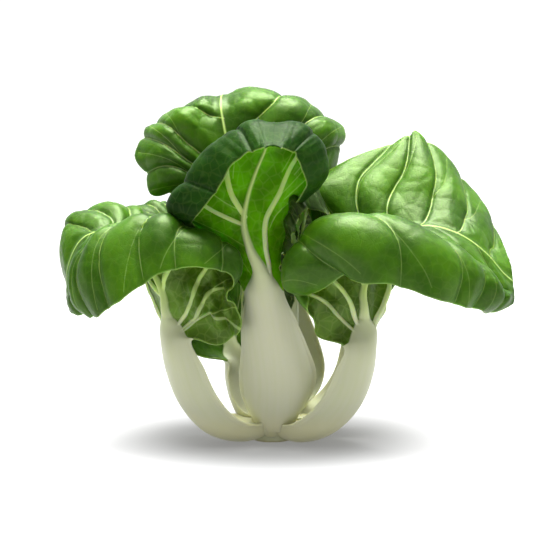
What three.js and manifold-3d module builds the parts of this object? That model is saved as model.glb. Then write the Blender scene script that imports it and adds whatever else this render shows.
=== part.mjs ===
// A small head of bok choy, cut from its root and standing on its own base.
//
// Frame: millimetres, +Z up. The origin is the middle of the cut face that the
// head stands on. +X runs to the wide right-hand leaf, and +Y to the tall back leaf.
//
// The head is a short conical stem with leaves round it. A leaf is one piece:
// a thick white stalk, spoon-shaped at its foot, that thins out into the midrib of
// a broad green blade. Every leaf is one lofted solid on a net of guide points,
// and gives way by a small gap to the pieces that were placed before it.

import * as THREE from 'three';
import Module from 'manifold-3d';

// ---- driving dimensions, in millimetres -------------------------------------------

const LAMINA = 1.1;             // thickness of the green blade
const FLANGE = 1.5;             // thickness of a stalk's thin side edges
const STALK_FOOT = 9;           // thickness of a stalk's middle where it leaves the stem
const STALK_TOP = 5;            // thickness of a stalk's middle where the blade starts
const MIDRIB_TIP = 1.3;         // thickness of the midrib at the blade's tip
const OUTER_SHARE = 0.6;        // how much of the thickness lies on the outer side
const GAP = 0.35;               // clearance between pieces that touch

const STEM_RADIUS = 9;          // the stem at the cut face
const STEM_TOP_RADIUS = 4;      // the stem at its growing tip
const STEM_HEIGHT = 20;
const STEM_SIDES = 28;

const OUTER_MESH = { ringsPerRow: 2, columns: 8 };   // how finely a leaf is lofted
const INNER_MESH = { ringsPerRow: 1, columns: 6 };
const FLOOR_BLOCK = 400;        // side of the block that cuts everything flat at z = 0

const wasm = await Module();
wasm.setup();

// ---- leaves that are placed by hand -----------------------------------------------
//
// heading: the way the stalk grows outwards, in degrees from +X towards +Y.
// stalk:   rows of [x, y, z, half width, cupping]: the stalk's middle line, and how
//          far its side edges curl inwards.
// blade:   rows across the blade from its left to its right side as seen from outside
//          the head: [hem, crest, midrib, crest, hem].

const LEFT_LEAF = {
  heading: 205,
  mesh: OUTER_MESH,
  stalk: [
    [-4, -2, 7, 10, 3],
    [-14, -6, 5, 13, 5],
    [-25.5, -10, 8, 15, 7],
    [-36, -13, 19, 15.5, 8],
    [-42, -14.5, 33, 14.5, 8],
    [-45, -15, 48, 12.5, 7],
  ],
  blade: [
    [[-32, 8, 52], [-46, -5, 56], [-45, -15.5, 57], [-31, -22, 57], [-20, -25, 47]],
    [[-33, 11, 59], [-48.5, -3, 62], [-45.5, -16, 61], [-28, -26, 61], [-12.5, -27, 53]],
    [[-34, 14, 66], [-51.5, -1, 68], [-46, -16, 66], [-27, -27, 67], [-15, -27, 63]],
    [[-35, 18, 75], [-53, 2, 76], [-48, -16, 72], [-27, -26, 74], [-16, -30, 70]],
    [[-37, 22, 83], [-51, 5, 85], [-52.5, -14.5, 79], [-21, -26, 85], [-15, -33, 72]],
    [[-40, 26, 87], [-49, 8, 90], [-58.5, -13, 85], [-25, -25, 92], [-19, -38, 80]],
    [[-46, 29, 91], [-52, 9, 95], [-62, -12, 90], [-35, -26, 96], [-32, -44, 82]],
    [[-56, 31, 96], [-58, 10, 100], [-66, -10, 94], [-50, -27, 101.5], [-48, -46, 79]],
    [[-69, 28, 97], [-67, 8, 102], [-71, -11, 94], [-67, -26, 97], [-63, -44, 67]],
    [[-85, 19, 97], [-83.5, 4, 100.5], [-80, -12, 92], [-81, -25, 86], [-75, -37, 59.5]],
    [[-92, 8, 84], [-91, -2, 88], [-88.5, -12, 77], [-87, -21, 67], [-82, -24, 57.5]],
    [[-89, -4, 66], [-88.5, -7, 66], [-88.5, -11, 65], [-88, -14, 62], [-86.5, -17, 59]],
  ],
};

const RIGHT_LEAF = {
  heading: 335,
  mesh: OUTER_MESH,
  stalk: [
    [4, -2, 7, 10, 3],
    [12, -6, 4.8, 13, 5],
    [22.5, -10, 7.4, 15, 7],
    [34, -13, 18, 15.5, 8],
    [40, -14.5, 32, 14.5, 8],
    [42, -15, 46, 12.5, 7],
  ],
  blade: [
    [[19, -20, 50], [26, -21, 57], [40, -15, 56], [45, -6, 54], [25, 8, 44]],
    [[18, -24, 57], [21, -25, 64], [39.5, -16, 61], [48, -4, 60], [22.5, 8.5, 50]],
    [[12, -29, 64], [15, -27, 70], [39, -16, 66], [50, -1.5, 68], [20, 9, 56]],
    [[15, -33, 67.5], [10.5, -28, 77], [39.5, -15.5, 71], [48, 1, 77], [18, 9.5, 71]],
    [[20.5, -37, 72], [12, -27, 86], [42, -14, 76], [39, 3, 88], [16, 10, 86]],
    [[26, -41, 76.5], [17, -25, 93], [46.5, -12.5, 81], [34, 4.5, 96], [16, 12, 100]],
    [[32, -46, 77.5], [24, -27, 98.5], [51, -11, 86], [34, 6, 103], [17, 14, 111]],
    [[44, -49, 77], [39, -29, 101.5], [56, -10, 93], [41, 8, 111], [31, 20.5, 120.5]],
    [[62, -48, 74], [56, -28, 98], [66, -10, 96], [55, 9, 113], [57, 25, 133]],
    [[78, -42, 67.5], [76, -26, 88], [80, -11, 93], [70, 7, 112], [66, 27, 134.5]],
    [[91, -33, 64], [92, -22, 77], [93, -12, 84], [86, 3, 101], [80.5, 24, 121.5]],
    [[98, -25, 61], [100, -19.5, 67.5], [101, -13, 75], [97, -3, 86], [97, 13, 98]],
    [[103.5, -19, 63], [104, -16, 67], [104.5, -12, 72], [104, -8, 76.5], [103, -3, 82]],
  ],
};

const BACK_LEFT_LEAF = {
  heading: 135,
  mesh: OUTER_MESH,
  stalk: [
    [-3, 6, 6.5, 9, 4],
    [-8, 12, 8, 11, 5],
    [-13, 17.5, 16, 11.5, 5],
    [-16, 20.5, 24, 9.5, 4.5],
    [-17.5, 22.5, 31, 7.5, 4],
  ],
  blade: [
    [[-10, 27, 41], [-13, 26, 40], [-19, 24, 38], [-27, 19, 37], [-32, 12, 34]],
    [[-5, 38, 57], [-15, 34, 57], [-25, 28, 54], [-37, 19, 51], [-41, 12, 44]],
    [[-17, 51, 77], [-26, 41, 78], [-34, 31, 73], [-46, 22, 74], [-50, 17, 66]],
    [[-30, 58, 89], [-36, 45, 90], [-42, 32, 83], [-54, 24, 86], [-60, 20, 80]],
    [[-44, 60, 97], [-46, 47, 99], [-50, 33, 92], [-60, 25, 95], [-73, 24, 90]],
    [[-58, 55, 97], [-57, 45, 101], [-57, 34, 97], [-64, 28, 98], [-74, 28, 94]],
    [[-67, 47, 93], [-65, 41, 97], [-64, 36, 97], [-68, 32, 96], [-73, 31, 93]],
    [[-71, 40, 92], [-70.5, 38.5, 93], [-70, 37, 93], [-71, 35, 93], [-72, 34, 92]],
  ],
};

const RIGHT_BACK_LEAF = {
  heading: 32,
  mesh: OUTER_MESH,
  stalk: [
    [3, 4, 6, 9, 4],
    [15, 9, 5, 10.5, 5],
    [29, 17, 10.5, 11, 5.5],
    [38, 22, 23, 10.5, 5.5],
    [41, 25, 36, 10, 5],
    [42, 27, 49, 8.5, 4],
  ],
  blade: [
    [[53, 15, 63], [49, 21, 64], [43, 28, 60], [36, 36, 62], [31, 42, 58]],
    [[62, 14, 76], [55, 22, 77], [46, 31, 71], [35, 43, 74], [27, 50, 69]],
    [[69, 16, 87], [60, 25, 88], [50, 34, 82], [38, 49, 86], [28, 58, 80]],
    [[75, 22, 97], [65, 31, 98], [55, 38, 92], [45, 55, 96], [35, 66, 88]],
    [[80, 32, 101], [70, 38, 104], [62, 43, 98], [55, 59, 100], [46, 70, 90]],
    [[83, 43, 96], [77, 46, 102], [69, 49, 100], [64, 61, 98], [58, 70, 89]],
    [[83, 52, 90], [80, 53, 95], [75, 55, 96], [72, 60, 94], [69, 66, 88]],
    [[80, 58, 89], [79.5, 58.5, 90], [79, 59, 90.5], [78.5, 59.5, 90], [78, 60, 89]],
  ],
};

const FRONT_LEAF = {
  heading: 270,
  mesh: OUTER_MESH,
  stalk: [
    [1, -9, 9, 11, 6],
    [2, -17, 19, 15.5, 8],
    [2.5, -21, 30, 16.5, 8],
    [1, -24, 44, 14, 7],
    [-1.5, -24.5, 58, 11, 5],
    [-3.5, -24.5, 69, 8.5, 3.5],
  ],
  blade: [
    [[-18, -16, 80], [-12, -19, 78], [-5, -24.5, 78], [0, -22, 79], [4, -18, 82]],
    [[-33, -22, 97], [-23, -16, 91], [-9.5, -24, 88.5], [1, -20.5, 91], [6.5, -18, 94]],
    [[-32, -37, 103], [-42, -23, 105], [-12, -22.6, 99], [5, -20, 104], [10, -21, 105]],
    [[-24.5, -40, 114], [-35, -25, 118], [-10.5, -21.6, 109], [19, -22, 118], [14.5, -34, 116]],
    [[-17, -41, 125], [-25.5, -25, 130], [-7, -21, 120], [20.5, -24, 130], [12.5, -39, 125]],
    [[-11, -42, 131], [-16, -25, 138], [-2.5, -22, 131], [16.5, -24, 138], [11, -41, 131]],
    [[-6, -43, 132.8], [-8, -28, 142], [0.5, -27, 141.5], [10, -28, 141.5], [8, -42, 132.4]],
    [[-3, -43.5, 132], [-1.5, -43, 132.8], [0.5, -42.5, 133], [2.5, -43, 132.8], [4, -43.5, 132]],
  ],
};

const BACK_LEAF = {
  heading: 90,
  mesh: OUTER_MESH,
  stalk: [
    [3, 8, 9, 10, 5],
    [6, 17, 14, 14, 7],
    [8, 23, 27, 15.5, 7],
    [6, 26, 44, 13.5, 6],
    [1, 27, 61, 11, 5],
    [-5, 27, 77, 9, 4],
  ],
  blade: [
    [[9, 22, 88], [0, 24, 88], [-10, 27, 87], [-20, 24, 88], [-28, 22, 88]],
    [[18, 24, 104], [8, 20, 104], [-13, 25, 99], [-30, 20, 104], [-40, 22, 104]],
    [[26, 28, 116], [14, 18, 119], [-16, 23, 113], [-40, 16, 117], [-53.5, 24, 107]],
    [[33, 33, 130], [18, 18, 135], [-19, 22, 125.5], [-45, 18, 129], [-61, 30, 121]],
    [[27, 40, 140.5], [12, 22, 144], [-21.5, 24, 137], [-43, 22, 141], [-58.5, 38, 135.5]],
    [[12, 46, 146.5], [1, 28, 150], [-23, 28, 145.5], [-35, 28, 147], [-44, 46, 142.5]],
    [[-5, 50, 148.5], [-10, 37, 152], [-23, 35, 149.5], [-31, 36, 149], [-34, 50, 144.5]],
    [[-17, 51, 148], [-19, 50.5, 148.5], [-21, 50, 148], [-23, 50.5, 147.5], [-25, 51, 146.5]],
  ],
};

// ---- leaves that share one pattern ------------------------------------------------
//
// The pattern is written in a leaf's own directions: out from the head, sideways, up.

const PATTERN_STALK = [          // out, up, half width, cupping
  [3, 7, 9, 4],
  [12, 10, 13, 6],
  [20, 21, 15, 7],
  [25, 35, 14, 6.5],
  [27, 49, 11.5, 5.5],
  [28, 61, 9, 4],
];

const PATTERN_BLADE = [          // midrib out, up; crest side, out, up; hem side, out, up
  [28, 69, 11, 26, 72, 19, 22, 72],
  [29, 79, 20, 23, 86, 31, 27, 84],
  [30, 90, 27, 25, 99, 38, 38, 92],
  [32, 101, 28, 29, 110, 37, 45, 101],
  [37, 110, 22, 36, 118, 30, 53, 108],
  [45, 116, 14, 45, 120, 19, 59, 110],
  [54, 114, 6, 54, 115, 8, 62, 107],
  [61, 106, 1.5, 61, 106, 2.5, 61.5, 105],
];

// size scales the whole pattern; spread and width scale it outwards and sideways;
// lean tips it outwards, in degrees; lift raises it on the stem.
function patternLeaf({ heading, size, spread, width = 1, height = 1, lean = 0, lift = 0 }) {
  const turn = THREE.MathUtils.degToRad(heading);
  const tip = THREE.MathUtils.degToRad(lean);
  const place = (out, side, up) => {
    const reach = out * size * spread;
    const rise = up * size * height;
    const across = side * size * width;
    const away = reach * Math.cos(tip) + rise * Math.sin(tip);
    return [
      away * Math.cos(turn) - across * Math.sin(turn),
      away * Math.sin(turn) + across * Math.cos(turn),
      rise * Math.cos(tip) - reach * Math.sin(tip) + lift,
    ];
  };
  return {
    heading,
    mesh: INNER_MESH,
    stalk: PATTERN_STALK.map(([out, up, halfWidth, cupping]) => [
      ...place(out, 0, up), halfWidth * size, cupping * size,
    ]),
    blade: PATTERN_BLADE.map((row) => {
      const [midOut, midUp, crestSide, crestOut, crestUp, hemSide, hemOut, hemUp] = row;
      return [
        place(hemOut, -hemSide, hemUp),
        place(crestOut, -crestSide, crestUp),
        place(midOut, 0, midUp),
        place(crestOut, crestSide, crestUp),
        place(hemOut, hemSide, hemUp),
      ];
    }),
  };
}

// In the order in which they are fitted: an outer leaf keeps its foot whole, and the
// leaves inside it are cut back to fit round it.
const LEAVES = {
  left_leaf: LEFT_LEAF,
  right_leaf: RIGHT_LEAF,
  right_back_leaf: RIGHT_BACK_LEAF,
  back_left_leaf: BACK_LEFT_LEAF,
  front_leaf: FRONT_LEAF,
  back_leaf: BACK_LEAF,
  inner_right_leaf: patternLeaf({ heading: 350, size: 1.0, spread: 0.35, width: 0.75, lift: -6 }),
  inner_left_leaf: patternLeaf({ heading: 175, size: 0.78, spread: 0.55, width: 0.55, lift: 3 }),
  inner_back_leaf: patternLeaf({ heading: 80, size: 0.66, spread: 0.4, width: 0.5, lift: 4 }),
  heart_leaf: patternLeaf({ heading: 262, size: 0.55, spread: 0.3, width: 0.5, lift: 5 }),
};

// ---- from guide points to a solid -------------------------------------------------

// Five points across each stalk row, cupped like a shallow gutter.
function stalkRows(leaf) {
  const turn = THREE.MathUtils.degToRad(leaf.heading);
  const side = new THREE.Vector3(-Math.sin(turn), Math.cos(turn), 0);
  const middles = leaf.stalk.map(([x, y, z]) => new THREE.Vector3(x, y, z));
  const firstOfBlade = new THREE.Vector3(...leaf.blade[0][2]);
  const line = [...middles, firstOfBlade];
  return leaf.stalk.map(([, , , halfWidth, cupping], row) => {
    const along = line[row + 1].clone().sub(line[Math.max(row - 1, 0)]);
    const inward = along.cross(side).normalize();
    return [-1, -0.5, 0, 0.5, 1].map((across) => middles[row].clone()
      .addScaledVector(side, halfWidth * across)
      .addScaledVector(inward, cupping * across * across));
  });
}

// The middle sheet of a leaf: a grid of points from smooth curves along and across it.
function leafSheet(leaf) {
  const rows = [
    ...stalkRows(leaf),
    ...leaf.blade.map((row) => row.map((point) => new THREE.Vector3(...point))),
  ];
  const lengthwise = [0, 1, 2, 3, 4].map(
    (column) => new THREE.CatmullRomCurve3(rows.map((row) => row[column]), false, 'centripetal'));
  const ringCount = (rows.length - 1) * leaf.mesh.ringsPerRow + 1;
  const points = [];
  for (let ring = 0; ring < ringCount; ring += 1) {
    const along = ring / (ringCount - 1);
    const across = new THREE.CatmullRomCurve3(
      lengthwise.map((curve) => curve.getPoint(along)), false, 'centripetal');
    points.push(across.getPoints(leaf.mesh.columns));
  }
  return { points, stalkEnd: (leaf.stalk.length - 1) / (rows.length - 1) };
}

// The inward normal at each point, from its neighbours along and across the sheet.
function sheetNormals(points) {
  const last = points.length - 1;
  const columns = points[0].length - 1;
  return points.map((ring, i) => ring.map((_, j) => {
    const along = points[Math.min(i + 1, last)][j].clone().sub(points[Math.max(i - 1, 0)][j]);
    const across = ring[Math.min(j + 1, columns)].clone().sub(ring[Math.max(j - 1, 0)]);
    return along.cross(across).normalize();
  }));
}

// Thickness of a leaf: a full, rounded stalk that becomes a narrow midrib on a thin blade.
function thicknessAt(along, across, stalkEnd) {
  const climb = Math.min(along / stalkEnd, 1);
  const fade = Math.max((along - stalkEnd) / (1 - stalkEnd), 0);
  const stalkness = 1 - THREE.MathUtils.smoothstep(fade, 0, 0.35);
  const middle = along < stalkEnd
    ? THREE.MathUtils.lerp(STALK_FOOT, STALK_TOP, climb)
    : THREE.MathUtils.lerp(STALK_TOP, MIDRIB_TIP, Math.sqrt(fade));
  const rounded = FLANGE + (middle - FLANGE) * (1 - across * across);
  const ridged = LAMINA + Math.max(middle - LAMINA, 0) * (1 - Math.abs(across)) ** 4;
  return THREE.MathUtils.lerp(ridged, rounded, stalkness);
}

// A closed loft: each ring runs across the inner face and back across the outer face.
// extra makes the leaf that much larger all round, to cut its neighbours with.
function leafGeometry(leaf, extra = 0) {
  const { points, stalkEnd } = leafSheet(leaf);
  const normals = sheetNormals(points);
  const last = points.length - 1;
  const { columns } = leaf.mesh;
  const inner = [];
  const outer = [];
  points.forEach((ring, i) => {
    const leftwards = ring[0].clone().sub(ring[1]).setLength(extra);
    const rightwards = ring[columns].clone().sub(ring[columns - 1]).setLength(extra);
    ring.forEach((point, j) => {
      const half = thicknessAt(i / last, (2 * j) / columns - 1, stalkEnd);
      const middle = point.clone();
      if (j === 0) middle.add(leftwards);
      if (j === columns) middle.add(rightwards);
      if (i === 0) middle.add(point.clone().sub(points[1][j]).setLength(extra));
      if (i === last) middle.add(point.clone().sub(points[last - 1][j]).setLength(extra));
      const normal = normals[i][j];
      inner.push(middle.clone().addScaledVector(normal, half * (1 - OUTER_SHARE) + extra));
      outer.push(middle.clone().addScaledVector(normal, -half * OUTER_SHARE - extra));
    });
  });
  const width = columns + 1;
  const count = points.length * width;
  const index = [];
  const quad = (a, b, c, d) => index.push(a, b, c, a, c, d);
  for (let i = 0; i < last; i += 1) {
    for (let j = 0; j < columns; j += 1) {
      const a = i * width + j;
      quad(a, a + width, a + width + 1, a + 1);
      quad(count + a, count + a + 1, count + a + width + 1, count + a + width);
    }
    const left = i * width;
    const right = left + columns;
    quad(left, count + left, count + left + width, left + width);
    quad(right, right + width, count + right + width, count + right);
  }
  for (let j = 0; j < columns; j += 1) {
    const top = last * width + j;
    quad(j, j + 1, count + j + 1, count + j);
    quad(top, count + top, count + top + 1, top + 1);
  }
  const geometry = new THREE.BufferGeometry();
  geometry.setFromPoints([...inner, ...outer]);
  geometry.setIndex(index);
  return geometry;
}

// The short stem: a cone with a flat cut face below and a rounded growing tip.
function stemGeometry(extra = 0) {
  const profile = new THREE.Shape();
  profile.moveTo(0, -extra);
  profile.lineTo(STEM_RADIUS + extra, -extra);
  profile.bezierCurveTo(
    STEM_RADIUS + extra, STEM_HEIGHT * 0.4,
    STEM_TOP_RADIUS + extra, STEM_HEIGHT * 0.6,
    STEM_TOP_RADIUS * 0.8 + extra, STEM_HEIGHT * 0.9);
  profile.lineTo(0, STEM_HEIGHT + extra);
  const cone = new THREE.LatheGeometry(profile.getPoints(5), STEM_SIDES);
  cone.rotateX(Math.PI / 2);
  return cone;
}

// ---- solids and booleans ----------------------------------------------------------

// Points nearer than this are one point, so that a seam or a pole closes.
const WELD = 1e-4;

function toSolid(geometry) {
  const position = geometry.getAttribute('position');
  const index = geometry.index.array;
  const found = new Map();
  const vertices = [];
  const names = [];
  for (let i = 0; i < position.count; i += 1) {
    const point = [position.getX(i), position.getY(i), position.getZ(i)];
    const key = point.map((value) => Math.round(value / WELD)).join();
    if (!found.has(key)) {
      found.set(key, vertices.length / 3);
      vertices.push(...point);
    }
    names.push(found.get(key));
  }
  const triangles = [];
  for (let i = 0; i < index.length; i += 3) {
    const [a, b, c] = [names[index[i]], names[index[i + 1]], names[index[i + 2]]];
    if (a !== b && b !== c && c !== a) triangles.push(a, b, c);
  }
  return new wasm.Manifold(new wasm.Mesh({
    numProp: 3,
    vertProperties: new Float32Array(vertices),
    triVerts: new Uint32Array(triangles),
  }));
}

function toGeometry(solid) {
  const mesh = solid.getMesh();
  const geometry = new THREE.BufferGeometry();
  geometry.setAttribute('position', new THREE.BufferAttribute(mesh.vertProperties, 3));
  geometry.setIndex(new THREE.BufferAttribute(mesh.triVerts, 1));
  geometry.computeVertexNormals();
  return geometry;
}

// A cut can leave loose slivers: only the largest body is the leaf.
function largestBody(solid) {
  const bodies = solid.decompose();
  return bodies.reduce((best, body) => (body.volume() > best.volume() ? body : best));
}

// ---- the head -----------------------------------------------------------------------

const stalkAndBlade = new THREE.MeshStandardMaterial({ color: 0x3f7a1e, roughness: 0.4 });
const stemFlesh = new THREE.MeshStandardMaterial({ color: 0xe6e8cf, roughness: 0.55 });

const belowFloor = new THREE.BoxGeometry(FLOOR_BLOCK, FLOOR_BLOCK, FLOOR_BLOCK);
belowFloor.translate(0, 0, -FLOOR_BLOCK / 2);
const floorSolid = toSolid(belowFloor);

const head = new THREE.Group();
head.name = 'bok_choy';

const stem = new THREE.Mesh(toGeometry(toSolid(stemGeometry())), stemFlesh);
stem.name = 'stem_base';
head.add(stem);

let occupied = floorSolid.add(toSolid(stemGeometry(GAP)));
for (const [name, guide] of Object.entries(LEAVES)) {
  const fitted = largestBody(toSolid(leafGeometry(guide)).subtract(occupied));
  const leaf = new THREE.Mesh(toGeometry(fitted), stalkAndBlade);
  leaf.name = name;
  head.add(leaf);
  occupied = occupied.add(toSolid(leafGeometry(guide, GAP)));
}

export default head;
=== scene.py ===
# %% [markdown]
# # A small head of bok choy
#
# Bok choy is a short stem with leaves packed round it. A leaf is one grown piece: a thick
# white stalk, spoon-shaped at its foot, runs out into the midrib of a broad green blade.
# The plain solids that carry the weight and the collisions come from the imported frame.
# This lesson grows a fine skin for each of them: puckered blades, pale veins, waxy stalks.
# Each leaf is a surface worked out with numpy on a grid of two parameters, one along the
# leaf and one across it, so one set of functions makes all ten leaves.

# %% Load the frame
import math
from types import SimpleNamespace

import bpy
import numpy as np
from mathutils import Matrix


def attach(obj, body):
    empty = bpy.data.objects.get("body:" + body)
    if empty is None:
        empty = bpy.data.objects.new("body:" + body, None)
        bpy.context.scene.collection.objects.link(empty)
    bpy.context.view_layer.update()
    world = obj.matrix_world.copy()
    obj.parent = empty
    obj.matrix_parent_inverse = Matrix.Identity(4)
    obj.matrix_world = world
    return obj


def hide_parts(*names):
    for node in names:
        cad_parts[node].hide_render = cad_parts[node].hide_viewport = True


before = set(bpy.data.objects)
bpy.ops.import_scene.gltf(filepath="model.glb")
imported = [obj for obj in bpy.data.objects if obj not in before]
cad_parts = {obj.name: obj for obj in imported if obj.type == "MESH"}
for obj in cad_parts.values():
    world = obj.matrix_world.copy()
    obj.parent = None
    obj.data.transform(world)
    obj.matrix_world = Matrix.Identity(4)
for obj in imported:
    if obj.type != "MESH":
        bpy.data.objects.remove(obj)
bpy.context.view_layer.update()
MM = 0.001
dice = np.random.default_rng(7)


def add_object(name, data):
    """Puts new data into the scene as an object at the origin."""
    made = bpy.data.objects.new(name, data)
    bpy.context.collection.objects.link(made)
    return made


# %% [markdown]
# ## The camera
#
# A long lens from nearly a metre away keeps the leaves' sizes true. The camera looks a
# little down on the head and aims at half its height, just beside its axis, so that the
# head stands in the middle of a square picture.

# %% Camera
CAMERA_DISTANCE = 0.900
CAMERA_HEIGHT_ANGLE = math.radians(8.0)
PICTURE_WIDTH = 0.2464  # what the picture spans at the head, in metres
AIM = (0.0035, 0.0, 0.0711)
SENSOR_WIDTH = 36.0  # mm

camera_data = bpy.data.cameras.new("camera")
camera_data.sensor_width = SENSOR_WIDTH
camera_data.lens = SENSOR_WIDTH * CAMERA_DISTANCE / PICTURE_WIDTH
camera = add_object("camera", camera_data)
camera.location = (
    AIM[0],
    AIM[1] - CAMERA_DISTANCE * math.cos(CAMERA_HEIGHT_ANGLE),
    AIM[2] + CAMERA_DISTANCE * math.sin(CAMERA_HEIGHT_ANGLE),
)
camera.rotation_euler = (math.pi / 2 - CAMERA_HEIGHT_ANGLE, 0.0, 0.0)
bpy.context.scene.camera = camera
print("lens in mm:", round(camera_data.lens, 1))

# %% [markdown]
# ## Guide points
#
# A leaf hangs on a coarse net of guide points, in millimetres, the same net that its plain
# solid was lofted on. A stalk row is a point of its middle line with a half width and a
# cupping, which is how far its edges curl inwards. A blade row has five points across:
# hem, crest, midrib, crest, hem, from the left side to the right as seen from outside.
# A leaf could be sculpted by hand, but a net of numbers can be read, changed and shared
# with the solid, and the crests make a blade arch on both sides of its midrib.

# %% Guide points of the leaves
LEFT_LEAF = dict(heading=205, stalk=[
    (-4, -2, 7, 10, 3),
    (-14, -6, 5, 13, 5),
    (-25.5, -10, 8, 15, 7),
    (-36, -13, 19, 15.5, 8),
    (-42, -14.5, 33, 14.5, 8),
    (-45, -15, 48, 12.5, 7),
], blade=[
    ((-32, 8, 52), (-46, -5, 56), (-45, -15.5, 57), (-31, -22, 57), (-20, -25, 47)),
    ((-33, 11, 59), (-48.5, -3, 62), (-45.5, -16, 61), (-28, -26, 61), (-12.5, -27, 53)),
    ((-34, 14, 66), (-51.5, -1, 68), (-46, -16, 66), (-27, -27, 67), (-15, -27, 63)),
    ((-35, 18, 75), (-53, 2, 76), (-48, -16, 72), (-27, -26, 74), (-16, -30, 70)),
    ((-37, 22, 83), (-51, 5, 85), (-52.5, -14.5, 79), (-21, -26, 85), (-15, -33, 72)),
    ((-40, 26, 87), (-49, 8, 90), (-58.5, -13, 85), (-25, -25, 92), (-19, -38, 80)),
    ((-46, 29, 91), (-52, 9, 95), (-62, -12, 90), (-35, -26, 96), (-32, -44, 82)),
    ((-56, 31, 96), (-58, 10, 100), (-66, -10, 94), (-50, -27, 101.5), (-48, -46, 79)),
    ((-69, 28, 97), (-67, 8, 102), (-71, -11, 94), (-67, -26, 97), (-63, -44, 67)),
    ((-85, 19, 97), (-83.5, 4, 100.5), (-80, -12, 92), (-81, -25, 86), (-75, -37, 59.5)),
    ((-92, 8, 84), (-91, -2, 88), (-88.5, -12, 77), (-87, -21, 67), (-82, -24, 57.5)),
    ((-89, -4, 66), (-88.5, -7, 66), (-88.5, -11, 65), (-88, -14, 62), (-86.5, -17, 59)),
])

RIGHT_LEAF = dict(heading=335, stalk=[
    (4, -2, 7, 10, 3),
    (12, -6, 4.8, 13, 5),
    (22.5, -10, 7.4, 15, 7),
    (34, -13, 18, 15.5, 8),
    (40, -14.5, 32, 14.5, 8),
    (42, -15, 46, 12.5, 7),
], blade=[
    ((19, -20, 50), (26, -21, 57), (40, -15, 56), (45, -6, 54), (25, 8, 44)),
    ((18, -24, 57), (21, -25, 64), (39.5, -16, 61), (48, -4, 60), (22.5, 8.5, 50)),
    ((12, -29, 64), (15, -27, 70), (39, -16, 66), (50, -1.5, 68), (20, 9, 56)),
    ((15, -33, 67.5), (10.5, -28, 77), (39.5, -15.5, 71), (48, 1, 77), (18, 9.5, 71)),
    ((20.5, -37, 72), (12, -27, 86), (42, -14, 76), (39, 3, 88), (16, 10, 86)),
    ((26, -41, 76.5), (17, -25, 93), (46.5, -12.5, 81), (34, 4.5, 96), (16, 12, 100)),
    ((32, -46, 77.5), (24, -27, 98.5), (51, -11, 86), (34, 6, 103), (17, 14, 111)),
    ((44, -49, 77), (39, -29, 101.5), (56, -10, 93), (41, 8, 111), (31, 20.5, 120.5)),
    ((62, -48, 74), (56, -28, 98), (66, -10, 96), (55, 9, 113), (57, 25, 133)),
    ((78, -42, 67.5), (76, -26, 88), (80, -11, 93), (70, 7, 112), (66, 27, 134.5)),
    ((91, -33, 64), (92, -22, 77), (93, -12, 84), (86, 3, 101), (80.5, 24, 121.5)),
    ((98, -25, 61), (100, -19.5, 67.5), (101, -13, 75), (97, -3, 86), (97, 13, 98)),
    ((103.5, -19, 63), (104, -16, 67), (104.5, -12, 72), (104, -8, 76.5), (103, -3, 82)),
])

BACK_LEFT_LEAF = dict(heading=135, stalk=[
    (-3, 6, 6.5, 9, 4),
    (-8, 12, 8, 11, 5),
    (-13, 17.5, 16, 11.5, 5),
    (-16, 20.5, 24, 9.5, 4.5),
    (-17.5, 22.5, 31, 7.5, 4),
], blade=[
    ((-10, 27, 41), (-13, 26, 40), (-19, 24, 38), (-27, 19, 37), (-32, 12, 34)),
    ((-5, 38, 57), (-15, 34, 57), (-25, 28, 54), (-37, 19, 51), (-41, 12, 44)),
    ((-17, 51, 77), (-26, 41, 78), (-34, 31, 73), (-46, 22, 74), (-50, 17, 66)),
    ((-30, 58, 89), (-36, 45, 90), (-42, 32, 83), (-54, 24, 86), (-60, 20, 80)),
    ((-44, 60, 97), (-46, 47, 99), (-50, 33, 92), (-60, 25, 95), (-73, 24, 90)),
    ((-58, 55, 97), (-57, 45, 101), (-57, 34, 97), (-64, 28, 98), (-74, 28, 94)),
    ((-67, 47, 93), (-65, 41, 97), (-64, 36, 97), (-68, 32, 96), (-73, 31, 93)),
    ((-71, 40, 92), (-70.5, 38.5, 93), (-70, 37, 93), (-71, 35, 93), (-72, 34, 92)),
])

RIGHT_BACK_LEAF = dict(heading=32, stalk=[
    (3, 4, 6, 9, 4),
    (15, 9, 5, 10.5, 5),
    (29, 17, 10.5, 11, 5.5),
    (38, 22, 23, 10.5, 5.5),
    (41, 25, 36, 10, 5),
    (42, 27, 49, 8.5, 4),
], blade=[
    ((53, 15, 63), (49, 21, 64), (43, 28, 60), (36, 36, 62), (31, 42, 58)),
    ((62, 14, 76), (55, 22, 77), (46, 31, 71), (35, 43, 74), (27, 50, 69)),
    ((69, 16, 87), (60, 25, 88), (50, 34, 82), (38, 49, 86), (28, 58, 80)),
    ((75, 22, 97), (65, 31, 98), (55, 38, 92), (45, 55, 96), (35, 66, 88)),
    ((80, 32, 101), (70, 38, 104), (62, 43, 98), (55, 59, 100), (46, 70, 90)),
    ((83, 43, 96), (77, 46, 102), (69, 49, 100), (64, 61, 98), (58, 70, 89)),
    ((83, 52, 90), (80, 53, 95), (75, 55, 96), (72, 60, 94), (69, 66, 88)),
    ((80, 58, 89), (79.5, 58.5, 90), (79, 59, 90.5), (78.5, 59.5, 90), (78, 60, 89)),
])

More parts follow.
